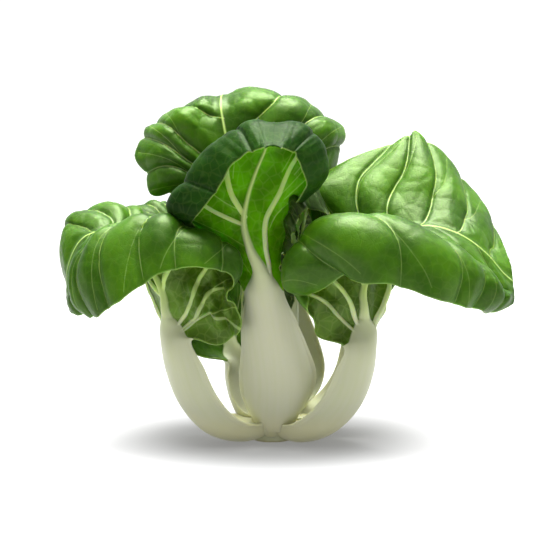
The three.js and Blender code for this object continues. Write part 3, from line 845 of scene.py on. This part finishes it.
def grow(leaf, grid):
    """The leaf's two faces in mm, the facts for its finish, and its flat map."""
    at = lay_out(leaf, grid)
    find_veins(leaf, at)
    beside = smooth_step(0.0, 5.0, np.abs(at.middle) - at.core * 0.6)
    at.blade = smooth_step(-0.8, 0.6, at.row) * beside
    risen = at.sheet + at.normal * relief(leaf, at)[..., None]
    normal = sheet_normals(risen)
    inner, outer = thicknesses(leaf, at)
    along = np.broadcast_to(at.along[:, None], at.hem.shape)
    return {
        "inner": risen + normal * inner[..., None],
        "outer": risen - normal * outer[..., None],
        "facts": facts_for_finish(leaf, at),
        "flat_map": np.stack([along, at.middle], axis=2) * FLAT_SCALE,
    }

# %% [markdown]
# ## From two faces to one closed mesh
#
# The inner and the outer grid become one skin: quads on both, and a narrow band of quads
# round the rim that joins them. A Solidify modifier could make the second face, but with
# one thickness all over, and a stalk's foot is over twenty times as thick as a hem. What
# a finish needs later, such as the distance to the nearest vein, goes along as attributes,
# and the flat map goes in as UVs.

# %% Building a leaf's mesh
FLOOR_GAP = 0.02  # mm between the lowest skin and the surface below


def leaf_faces(rows, columns):
    """Quads of the inner grid, the outer grid turned over, and the band round the rim."""
    number = np.arange(rows * columns).reshape(rows, columns)
    a, b = number[:-1, :-1], number[1:, :-1]
    c, d = number[1:, 1:], number[:-1, 1:]
    top = np.stack([a, b, c, d], axis=-1).reshape(-1, 4)
    under = np.stack([a, d, c, b], axis=-1).reshape(-1, 4) + rows * columns
    rim = np.concatenate(
        [number[0, :], number[1:, -1], number[-1, -2::-1], number[-2:0:-1, 0]])
    after = np.roll(rim, -1)
    band = np.stack([rim, after, after + rows * columns, rim + rows * columns], axis=-1)
    return np.vstack([top, under, band])


def make_mesh(name, vertices, faces):
    """A mesh object at the origin from whole arrays, in metres, smooth shaded."""
    mesh = bpy.data.meshes.new(name)
    mesh.vertices.add(len(vertices))
    mesh.vertices.foreach_set("co", np.ascontiguousarray(vertices, np.float32).ravel())
    mesh.loops.add(faces.size)
    mesh.loops.foreach_set("vertex_index", faces.astype(np.int32).ravel())
    mesh.polygons.add(len(faces))
    mesh.polygons.foreach_set("loop_start", np.arange(0, faces.size, 4, dtype=np.int32))
    mesh.update(calc_edges=True)
    mesh.polygons.foreach_set("use_smooth", np.ones(len(faces), bool))
    if mesh.validate(verbose=False):
        print("mended mesh:", name)
    return add_object(name, mesh)


def write_fact(mesh, name, inner, outer):
    """One float for each vertex: the inner face's values, then the outer face's."""
    values = np.concatenate([np.ravel(inner), np.ravel(outer)]).astype(np.float32)
    mesh.attributes.new(name, "FLOAT", "POINT").data.foreach_set("value", values)


def build_leaf(node, leaf, grid, finish):
    """Grows a leaf and turns it into one closed piece that stands for its CAD node."""
    grown = grow(prepare(leaf), grid)
    vertices = np.vstack([grown["inner"].reshape(-1, 3), grown["outer"].reshape(-1, 3)])
    vertices[:, 2] = np.maximum(vertices[:, 2], FLOOR_GAP)
    faces = leaf_faces(*grid)
    piece = make_mesh(f"{node}_grown", vertices * MM, faces)
    mesh = piece.data
    for name, values in grown["facts"].items():
        inner, outer = values if isinstance(values, tuple) else (values, values)
        write_fact(mesh, name, inner, outer)
    write_fact(mesh, "inside", np.ones(grid), np.zeros(grid))
    flat = np.tile(grown["flat_map"].reshape(-1, 2), (2, 1)).astype(np.float32)
    uv = mesh.uv_layers.new(name="flat_map")
    uv.data.foreach_set("uv", flat[faces.ravel()].ravel())
    mesh.materials.append(finish)
    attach(piece, "root")
    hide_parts(node)
    low, high = vertices.min(axis=0), vertices.max(axis=0)
    print(node, "mm:", low.round(1), high.round(1), "faces:", len(faces))
    return piece

# %% [markdown]
# ## Finishes
#
# A leaf is waxy outside and soft inside: light enters the tissue, spreads and comes out
# again, even on the far side of a thin blade. One shader with subsurface scattering does
# both. Its colour follows the attributes: white in the stalk and the ribs, pale on the
# veins, deep green between them, and another green on the outer face.

# %% Small helpers for shader nodes
def new_finish(name):
    """A material with an empty node tree."""
    material = bpy.data.materials.new(name)
    material.use_nodes = True
    material.node_tree.nodes.clear()
    return material, material.node_tree


def add_node(tree, kind, inputs=None, **settings):
    """Adds a shader node. An input given a socket is linked, any other value is set."""
    node = tree.nodes.new(kind)
    for key, value in settings.items():
        setattr(node, key, value)
    for key, value in (inputs or {}).items():
        if isinstance(value, bpy.types.NodeSocket):
            tree.links.new(value, node.inputs[key])
        else:
            node.inputs[key].default_value = value
    return node


def add_shader(tree, inputs):
    """One Principled shader, joined to the material's surface."""
    shader = add_node(tree, "ShaderNodeBsdfPrincipled", inputs)
    add_node(tree, "ShaderNodeOutputMaterial", {"Surface": shader.outputs[0]})


def read_fact(tree, name):
    """The value of a float attribute of the mesh."""
    return add_node(tree, "ShaderNodeAttribute", attribute_name=name).outputs["Fac"]


def ramp(tree, value, low, high, to_low=0.0, to_high=1.0):
    """A smooth ramp from one range to another."""
    return add_node(
        tree, "ShaderNodeMapRange",
        {"Value": value, "From Min": low, "From Max": high, "To Min": to_low, "To Max": to_high},
        interpolation_type="SMOOTHSTEP",
    ).outputs["Result"]


def calculate(tree, operation, first, second=0.0):
    """One sum or other simple step on two numbers."""
    return add_node(
        tree, "ShaderNodeMath", {0: first, 1: second}, operation=operation).outputs[0]


def times(tree, first, second):
    """The product of two numbers."""
    return calculate(tree, "MULTIPLY", first, second)


def blend_colours(tree, share, first, second):
    """Mixes two colours; share 0 gives the first and 1 the second."""
    node = add_node(tree, "ShaderNodeMix", {0: share}, data_type="RGBA")
    for socket, colour in ((6, first), (7, second)):
        if isinstance(colour, bpy.types.NodeSocket):
            tree.links.new(colour, node.inputs[socket])
        else:
            node.inputs[socket].default_value = (*colour, 1.0)
    return node.outputs[2]


def cloudy(tree, place, scale, detail=3.0):
    """Soft noise, 0 to 1, over the given coordinates."""
    return add_node(
        tree, "ShaderNodeTexNoise", {"Vector": place, "Scale": scale, "Detail": detail}
    ).outputs["Fac"]


def cell_border(tree, place, scale):
    """Distance to the nearest border between random cells."""
    return add_node(
        tree, "ShaderNodeTexVoronoi", {"Vector": place, "Scale": scale},
        feature="DISTANCE_TO_EDGE").outputs["Distance"]


def bumpy(tree, height, strength, depth):
    """Normals tilted by a height pattern that is depth metres deep."""
    return add_node(
        tree, "ShaderNodeBump", {"Height": height, "Strength": strength, "Distance": depth}
    ).outputs["Normal"]

# %% [markdown]
# Three layers make the leaf's colour. The tissue is a patchy green with painted shade: darker
# in the creases by the veins, and on the outer face in dark specks that stand in for the
# shade of its crumples. Lines go on top of it, thin and faint for the twigs, wider for the
# veins. The white of stalk and midrib covers both, with long streaks and a yellow foot,
# lighter than the stalk with painted light.

# %% Colours and pattern scales
STALK_WHITE = (0.56, 0.565, 0.42)
STALK_OLIVE = (0.50, 0.54, 0.27)
# the feet's own yellow, lightened with painted light
LIT_FOOT_YELLOW = (0.78, 0.75, 0.46)
VEIN_PALE = (0.50, 0.66, 0.20)
LEAF_GLOW = (0.6, 1.0, 0.1)  # how far red, green and blue light spread in the blade
STALK_GLOW = (1.0, 0.95, 0.7)  # and in the stalk
PATCHES = 45.0  # pattern scales count per metre
SPECKS = 170.0
PALE_CELLS = 240.0
VEINLETS = 420.0
GRAIN = 900.0


def vein_line(tree, name, half_width, strength):
    """1 on the veins of one kind and 0 beside them: the signed distance without its sign,
    less the half width, over a short ramp. The plain distance masks the lines where the
    sign jumps halfway between two veins."""
    beside = calculate(tree, "ABSOLUTE", read_fact(tree, name + "_side"))
    beside = calculate(tree, "SUBTRACT", beside, half_width)
    near = calculate(tree, "SUBTRACT", read_fact(tree, name + "_gap"), half_width)
    line = ramp(tree, beside, 0.0, 0.35, 1.0, 0.0)
    line = times(tree, line, ramp(tree, near, 0.5, 1.0, 1.0, 0.0))
    return times(tree, line, strength)


def green_tissue(tree, place, inside, fresh, deep, dull):
    """Patches of fresh and deep green inside, darker by the veins with painted shade; dull
    green outside with dark specks of painted shade; a faint pale net and a pale rim on both."""
    patches = ramp(tree, cloudy(tree, place, PATCHES), 0.35, 0.65)
    green = blend_colours(tree, patches, deep, fresh)
    # painted shade: dark specks and patches on the outer face stand in for the shade of its
    # crumples
    specks = ramp(tree, cloudy(tree, place, SPECKS, 4.0), 0.35, 0.65)
    shade = calculate(tree, "ADD", times(tree, patches, 0.6), times(tree, specks, 0.4))
    painted_shade_dull = tuple(0.4 * part for part in dull)
    green = blend_colours(tree, inside, blend_colours(tree, shade, painted_shade_dull, dull), green)
    # painted shade: the inner face turns deep green in the creases beside the veins
    painted_crease_shade = ramp(tree, read_fact(tree, "vein_gap"), 0.4, 3.2, 0.6, 0.0)
    green = blend_colours(tree, times(tree, painted_crease_shade, inside), green, deep)
    net = ramp(tree, cell_border(tree, place, PALE_CELLS), 0.0, 0.12, 1.0, 0.0)
    net = times(tree, net, ramp(tree, inside, 0.0, 1.0, 0.08, 0.02))
    green = blend_colours(tree, net, green, VEIN_PALE)
    rim = ramp(tree, read_fact(tree, "hem_gap"), 0.1, 0.6, 0.25, 0.0)
    return blend_colours(tree, rim, green, VEIN_PALE)


def with_veins(tree, green, inside, pale):
    """The green with its twigs and veins drawn on, thinner and fainter inside."""
    wide = read_fact(tree, "vein_wide")
    drawn = times(tree, wide, ramp(tree, inside, 0.0, 1.0, 0.9, 0.10))
    shown = read_fact(tree, "vein_shown")
    strength = times(tree, ramp(tree, wide, 0.2, 0.9, 0.35, 1.0), shown)
    twigs = vein_line(tree, "twig", 0.02, times(tree, shown, 0.35))
    green = blend_colours(tree, twigs, green, VEIN_PALE)
    return blend_colours(tree, vein_line(tree, "vein", drawn, strength), green, pale)


def stalk_white(tree, place, streaks, pale):
    """The pale colour with olive streaks, running into a light yellow above the stem: the
    stalk's own tint there, made lighter than the stalk with painted light.
    """
    olive = ramp(tree, streaks, 0.35, 0.75, 0.0, 0.22)
    height = add_node(tree, "ShaderNodeSeparateXYZ", {0: place}).outputs["Z"]
    foot = ramp(tree, height, 0.004, 0.018, 0.7, 0.0)
    return blend_colours(tree, foot, blend_colours(tree, olive, pale, STALK_OLIVE), LIT_FOOT_YELLOW)

# %% [markdown]
# The shader is waxy, with a little clear coat. Its gloss has a green tint, because a
# colourless one lays a grey veil over green leaves in white surroundings.

# %% The finish of a leaf
def leaf_finish(name, fresh, deep, dull, shine):
    """Green tissue with pale veins, running into a white waxy stalk."""
    material, tree = new_finish(name)
    place = add_node(tree, "ShaderNodeTexCoord").outputs["Object"]
    flat = add_node(tree, "ShaderNodeUVMap", uv_map="flat_map").outputs["UV"]
    inside = read_fact(tree, "inside")
    lengthwise = add_node(
        tree, "ShaderNodeMapping", {"Vector": flat, "Scale": (2.0, 60.0, 1.0)}).outputs[0]
    streaks = cloudy(tree, lengthwise, 1.0, 4.0)

    climb = ramp(tree, read_fact(tree, "climb"), -2.0, 4.0)
    pale = blend_colours(tree, climb, STALK_WHITE, VEIN_PALE)
    green = green_tissue(tree, place, inside, fresh, deep, dull)
    green = with_veins(tree, green, inside, pale)
    white = stalk_white(tree, place, streaks, pale)
    in_core = ramp(tree, read_fact(tree, "core_edge"), -0.5, 0.5, 1.0, 0.0)

    grain = calculate(
        tree, "ADD", ramp(tree, cell_border(tree, place, VEINLETS), 0.0, 0.12),
        times(tree, cloudy(tree, place, GRAIN), 0.8))
    grain = times(tree, grain, calculate(tree, "SUBTRACT", 1.0, in_core))
    grain = calculate(tree, "ADD", grain, times(tree, streaks, 0.1))

    add_shader(tree, {
        "Base Color": blend_colours(tree, in_core, green, white),
        "Roughness": 0.38,
        "Normal": bumpy(tree, grain, 0.16, 0.0002),
        "IOR": 1.55,
        "Specular IOR Level": shine,
        "Specular Tint": (0.72, 1.0, 0.36, 1.0),
        "Subsurface Weight": 0.85,
        "Subsurface Radius": blend_colours(tree, in_core, LEAF_GLOW, STALK_GLOW),
        "Subsurface Scale": 0.0015,
        "Coat Weight": 0.04,
        "Coat Roughness": 0.28,
    })
    return material


outer_tissue = leaf_finish(
    "outer_leaf_tissue", fresh=(0.050, 0.148, 0.0010), deep=(0.018, 0.073, 0.0005),
    dull=(0.090, 0.190, 0.0090), shine=0.36)
# The front leaf: darker greens inside, and outside a bright green that is painted light, standing
# in for the light shining through the hood from behind.
hood_tissue_painted_backlight = leaf_finish(
    "hood_leaf_painted_backlight", fresh=(0.013, 0.055, 0.0040), deep=(0.005, 0.026, 0.0020),
    dull=(0.135, 0.440, 0.0002), shine=0.06)
# The young leaves in the heart: near-black greens, painted shade that stands in for the shade
# deep inside the head.
heart_tissue_painted_shade = leaf_finish(
    "heart_leaf_painted_shade", fresh=(0.012, 0.040, 0.0015), deep=(0.004, 0.016, 0.0010),
    dull=(0.020, 0.050, 0.0030), shine=0.5)
print("finishes:", [material.name for material in (outer_tissue, hood_tissue_painted_backlight, heart_tissue_painted_shade)])

# %% [markdown]
# ## The leaves
#
# With everything in place, each leaf is one call. The two leaves that stand behind others
# get a coarser grid, and the young ones a coarser one still.

# %% Build the leaves
FINE_GRID = (300, 151)  # points along and across
PLAIN_GRID = (190, 95)
YOUNG_GRID = (111, 55)

for node, leaf in OUTER_LEAVES.items():
    grid = PLAIN_GRID if node in ("right_back_leaf", "back_left_leaf") else FINE_GRID
    tissue = hood_tissue_painted_backlight if node == "front_leaf" else outer_tissue
    build_leaf(node, leaf, grid, tissue)
for node, leaf in YOUNG_LEAVES.items():
    build_leaf(node, leaf, YOUNG_GRID, heart_tissue_painted_shade)

# %% [markdown]
# ## The stem
#
# Below, the knife left a flat round face, pale and damp with a slightly browned rim. A
# cylinder would look like a peg, so the stem is turned like a lathe piece, from a half
# outline that starts and ends on the axis, and its radius varies a little with the angle.

# %% The stem's cut end
STEM_RADIUS = 9.0  # mm
STEM_HEIGHT = 20.0  # mm
STEM_OUTLINE = np.array([  # mm: distance from the axis, height
    (0.0, 0.02), (3.0, 0.02), (6.0, 0.02), (8.4, 0.02), (9.0, 0.5), (8.9, 2.0), (8.2, 5.0),
    (7.0, 8.5), (5.6, 12.0), (4.4, 15.5), (3.2, 18.6), (1.6, 19.8), (0.0, 20.0),
])
STEM_STEPS = 96
STEM_SIDES = 160


def stem_mesh():
    """The outline smoothed and turned round the axis; its radius swells and dips a little
    with the angle, where the stalks are joined to it. The two ends close on one point."""
    knots = np.arange(len(STEM_OUTLINE), dtype=float)
    outline = smooth_curve(knots, STEM_OUTLINE, np.linspace(0, knots[-1], STEM_STEPS))
    outline[:, 0] = np.maximum(outline[:, 0], 0.0)
    outline[:, 1] = np.clip(outline[:, 1], FLOOR_GAP, STEM_HEIGHT)
    angle = np.arange(STEM_SIDES) * (2 * math.pi / STEM_SIDES)
    radius = outline[1:-1, 0, None] * (1 + 0.015 * np.sin(5 * angle) + 0.01 * np.sin(9 * angle))
    radius = np.minimum(radius, STEM_RADIUS)
    height = np.broadcast_to(outline[1:-1, 1, None], radius.shape)
    ring = np.stack([radius * np.cos(angle), radius * np.sin(angle), height], axis=-1)
    number = np.arange(ring.shape[0] * STEM_SIDES).reshape(-1, STEM_SIDES)
    after = np.roll(number, -1, axis=1)
    side = np.stack([number[:-1], after[:-1], after[1:], number[1:]], axis=-1).reshape(-1, 4)
    bottom = np.full(STEM_SIDES, number.size)
    ends = [[0, 0, outline[0, 1]], [0, 0, outline[-1, 1]]]
    vertices = np.vstack([ring.reshape(-1, 3), ends])
    triangles = np.vstack([
        np.stack([after[0], number[0], bottom], axis=-1),
        np.stack([number[-1], after[-1], bottom + 1], axis=-1),
    ])
    mesh = bpy.data.meshes.new("stem_base_grown")
    mesh.from_pydata((vertices * MM).tolist(), [], side.tolist() + triangles.tolist())
    mesh.polygons.foreach_set("use_smooth", np.ones(len(mesh.polygons), bool))
    return add_object("stem_base_grown", mesh)

# %% [markdown]
# The flesh needs no attributes. Its rings and its browned rim depend only on the distance
# from the axis, and the shader works that out from the place itself.

# %% The stem's finish
FLESH_LIGHT = (0.66, 0.68, 0.46)
FLESH_DARK = (0.58, 0.61, 0.36)
RIM_BROWN = (0.30, 0.20, 0.08)
RINGS = 4200.0  # radians per metre, a ring every 1.5 mm


def stem_finish():
    """Pale flesh with faint rings, darker and browner towards the cut face's rim."""
    material, tree = new_finish("stem_flesh")
    place = add_node(tree, "ShaderNodeTexCoord").outputs["Object"]
    parts = add_node(tree, "ShaderNodeSeparateXYZ", {0: place}).outputs
    squares = [calculate(tree, "POWER", parts[axis], 2.0) for axis in ("X", "Y")]
    from_axis = calculate(tree, "SQRT", calculate(tree, "ADD", *squares))
    wobble = times(tree, cloudy(tree, place, 300.0), 0.0015)
    rings = times(tree, calculate(tree, "ADD", from_axis, wobble), RINGS)
    rings = ramp(tree, calculate(tree, "SINE", rings), -1.0, 1.0, 0.0, 0.35)
    flesh = blend_colours(tree, rings, FLESH_LIGHT, FLESH_DARK)
    brown = ramp(tree, from_axis, 0.0060, 0.0088, 0.0, 0.45)
    brown = times(tree, brown, ramp(tree, parts["Z"], 0.0002, 0.0012, 1.0, 0.0))
    add_shader(tree, {
        "Base Color": blend_colours(tree, brown, flesh, RIM_BROWN),
        "Roughness": 0.5,
        "Normal": bumpy(tree, cloudy(tree, place, GRAIN), 0.4, 0.0003),
        "IOR": 1.42,
        "Subsurface Weight": 0.6,
        "Subsurface Radius": (1.0, 0.9, 0.5),
        "Subsurface Scale": 0.002,
    })
    return material


stem = stem_mesh()
stem.data.materials.append(stem_finish())
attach(stem, "root")
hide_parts("stem_base")
print("stem faces:", len(stem.data.polygons))

# %% [markdown]
# ## Floor and light
#
# A pale floor under a white sky, as in a light tent. The floor glows, painted light that
# keeps only a narrow painted shadow at the head. The tent is brightest above and behind,
# and weaker in front, so that the leaves keep their form. One broad lamp right above gives
# the soft gloss on every pillow that faces up and to the viewer.

# %% Floor
FLOOR_HALF = 2.5  # metres
FLOOR_GREY = (0.2, 0.2, 0.2, 1.0)
# painted light: the floor's glow, low at the head for a painted shadow, and high further out,
# where it covers the shadow of the leaves
PAINTED_SHADOW_GLOW = 0.22  # the light that the floor itself gives, at the head
FAR_GLOW = 1.00  # and further away, so that it runs into the white behind
NEAR = 0.03  # metres from the axis where the glow starts to grow
FAR = 0.09  # and where it is full


def make_floor():
    """A square plane under the head, which glows like a light table. The glow is painted light:
    least at the head, where it leaves a painted shadow, and more with the distance from it,
    where it covers the leaves' own shadow."""
    half = FLOOR_HALF
    mesh = bpy.data.meshes.new("floor")
    mesh.from_pydata(
        [(-half, -half, 0), (half, -half, 0), (half, half, 0), (-half, half, 0)],
        [], [(0, 1, 2, 3)])
    material, tree = new_finish("floor_paint")
    place = add_node(tree, "ShaderNodeTexCoord").outputs["Object"]
    away = add_node(
        tree, "ShaderNodeVectorMath", {0: place}, operation="LENGTH").outputs["Value"]
    add_shader(tree, {
        "Base Color": FLOOR_GREY,
        "Roughness": 0.9,
        "Specular IOR Level": 0.1,
        "Emission Color": (1.0, 1.0, 1.0, 1.0),
        "Emission Strength": ramp(tree, away, NEAR, FAR, PAINTED_SHADOW_GLOW, FAR_GLOW),
    })
    mesh.materials.append(material)
    return add_object("floor", mesh)


floor = make_floor()
print("floor in metres:", [round(value, 1) for value in floor.dimensions])

# %% Light
WHITE = (1.0, 1.0, 1.0, 1.0)
TENT_FRONT = 0.17  # strength of the tent's light from in front
TENT_BACK = 0.6  # what it gains towards the back
TENT_TOP = 0.6  # and towards the top
SEEN_WHITE = 1.1  # what the camera sees behind the head
LAMP_POWER = 36.0  # watts
LAMP_SIZE = 0.8  # metres
LAMP_PLACE = (0.05, 0.08, 1.05)
HEAD_MIDDLE = (0.0, 0.0, 0.07)


def make_tent():
    """A world whose light grows from front to back and from the horizon upwards. Seen
    directly it is plain white."""
    world = bpy.data.worlds.new("light_tent")
    bpy.context.scene.world = world
    world.use_nodes = True
    tree = world.node_tree
    tree.nodes.clear()
    direction = add_node(tree, "ShaderNodeTexCoord").outputs["Generated"]
    parts = add_node(tree, "ShaderNodeSeparateXYZ", {0: direction}).outputs
    back = ramp(tree, parts["Y"], -0.3, 0.9, 0.0, TENT_BACK)
    top = ramp(tree, parts["Z"], 0.1, 1.0, 0.0, TENT_TOP)
    strength = calculate(tree, "ADD", calculate(tree, "ADD", back, top), TENT_FRONT)
    light = add_node(tree, "ShaderNodeBackground", {"Color": WHITE, "Strength": strength})
    white = add_node(tree, "ShaderNodeBackground", {"Color": WHITE, "Strength": SEEN_WHITE})
    seen = add_node(tree, "ShaderNodeLightPath").outputs["Is Camera Ray"]
    mixed = add_node(tree, "ShaderNodeMixShader",
                     {0: seen, 1: light.outputs[0], 2: white.outputs[0]})
    add_node(tree, "ShaderNodeOutputWorld", {"Surface": mixed.outputs[0]})


def make_lamp():
    """A square lamp above the head, turned to its middle."""
    data = bpy.data.lights.new("overhead_lamp", "AREA")
    data.energy = LAMP_POWER
    data.size = LAMP_SIZE
    lamp = add_object("overhead_lamp", data)
    lamp.location = LAMP_PLACE
    towards = np.array(HEAD_MIDDLE) - np.array(LAMP_PLACE)
    level = math.hypot(towards[0], towards[1])
    lamp.rotation_euler = (
        math.atan2(level, -towards[2]), 0.0, math.atan2(towards[1], towards[0]) - math.pi / 2)
    print("lamp stands off by", round(float(np.linalg.norm(towards)), 2), "m")


make_tent()
make_lamp()
bpy.context.scene.view_settings.view_transform = "Standard"
